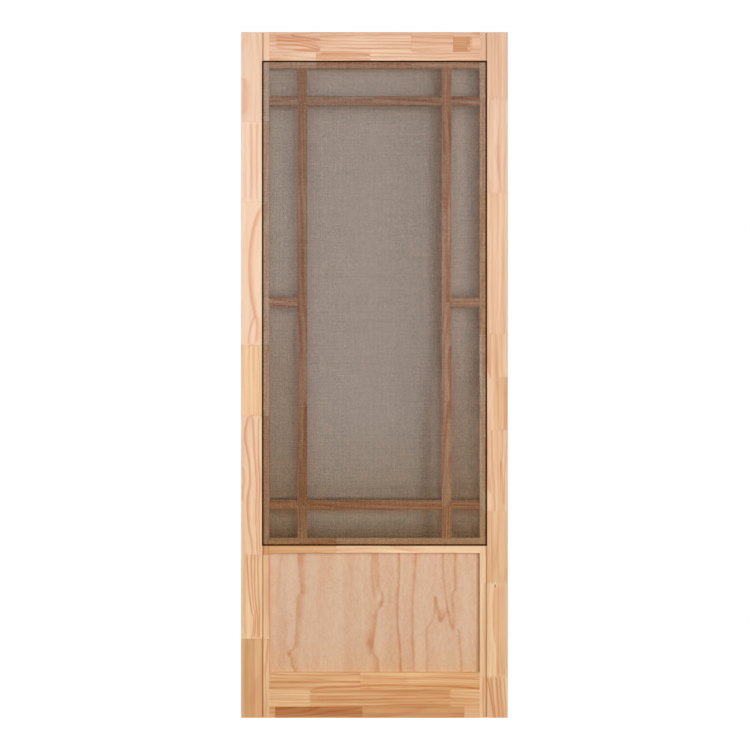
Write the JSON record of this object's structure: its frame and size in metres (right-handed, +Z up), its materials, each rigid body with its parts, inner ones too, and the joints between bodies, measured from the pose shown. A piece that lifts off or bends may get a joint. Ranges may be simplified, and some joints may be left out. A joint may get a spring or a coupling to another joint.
{
  "type": "wooden screen door",
  "caption": "Tall wooden screen door leaf: stiles and rails around insect mesh held by a spline, a grille of muntin bars behind the mesh and a recessed plywood kick panel.",
  "frame": {"origin": "on the hinge edge of the left stile, at the bottom of the leaf and in the middle of its thickness", "axes": "+X across the leaf from the hinge edge to the latch edge, +Z up, front face with the screen towards -Y"},
  "size_m": [0.8001, 0.029, 2.0574],
  "materials": {
    "pine": "bare planed pine, finger-jointed, matte",
    "plywood": "bare sanded plywood face veneer, matte",
    "screen": "bronze-brown woven insect mesh",
    "spline": "dark ribbed spline, matte"
  },
  "bodies": {
    "root": {"left_stile": "pine", "right_stile": "pine", "top_rail": "pine", "middle_rail": "pine", "bottom_rail": "pine", "kick_panel": "plywood", "left_muntin": "pine", "right_muntin": "pine", "top_muntin": "pine", "bottom_muntin": "pine", "left_short_muntin": "pine", "right_short_muntin": "pine", "screen_mesh": "screen", "left_spline": "spline", "right_spline": "spline", "bottom_spline": "spline", "top_spline": "spline"}
  },
  "joints": []
}
